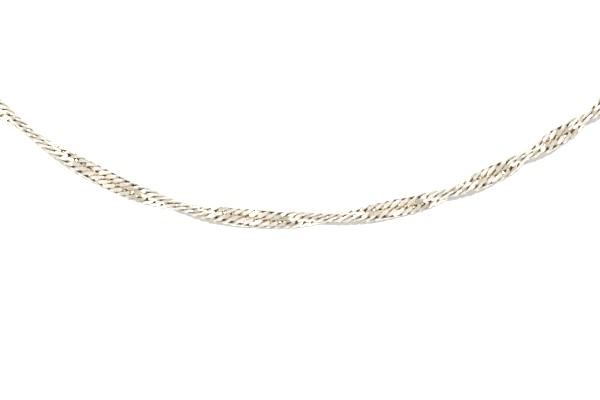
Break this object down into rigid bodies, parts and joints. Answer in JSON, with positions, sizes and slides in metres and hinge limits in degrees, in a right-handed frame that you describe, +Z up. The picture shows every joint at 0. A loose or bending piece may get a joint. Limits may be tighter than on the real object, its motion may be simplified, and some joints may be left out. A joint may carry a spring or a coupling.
{
  "type": "singapore chain necklace",
  "caption": "Fine neck chain of diamond-cut curb links that turn steadily about its line, laid out as one open loop and closed by a spring ring clasp.",
  "frame": {"origin": "on the surface that the necklace lies on, under the middle of its outline", "axes": "+X to the right and +Y away from the front of the loop, towards the clasp, as the picture shows it from above; +Z up from the surface"},
  "size_m": [0.1299, 0.1647, 0.004],
  "materials": {
    "chain_metal": "polished pale white gold with bright diamond-cut facets",
    "fittings_metal": "polished pale white gold"
  },
  "bodies": {
    "root": {"chain": "chain_metal", "jump_ring": "fittings_metal", "clasp": "fittings_metal", "catch_ring": "fittings_metal"}
  },
  "joints": []
}
